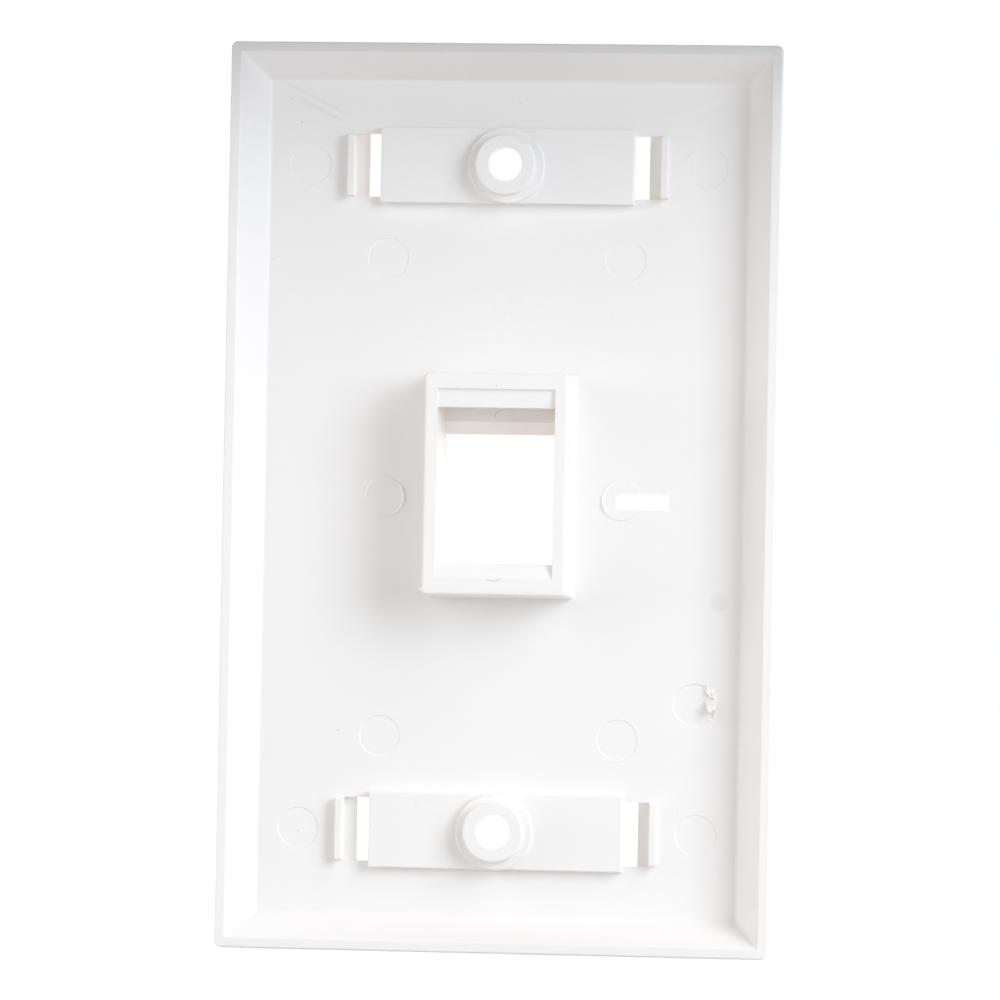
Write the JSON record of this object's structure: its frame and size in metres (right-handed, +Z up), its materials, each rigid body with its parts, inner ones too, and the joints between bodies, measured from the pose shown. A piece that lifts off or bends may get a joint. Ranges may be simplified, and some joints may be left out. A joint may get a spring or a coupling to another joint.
{
  "type": "keystone faceplate",
  "caption": "Single-gang wall plate with a keystone port, label recesses round the screws and a small side window, hollow behind.",
  "frame": {"origin": "middle of the plate's back rim, on the wall plane", "axes": "front face towards -Y, wall behind at +Y, +Z up along the plate's length, +X to the right as seen from the room"},
  "size_m": [0.0698, 0.01, 0.1142],
  "materials": {
    "plate": "white moulded ABS, satin"
  },
  "bodies": {
    "root": {"faceplate": "plate"}
  },
  "joints": []
}
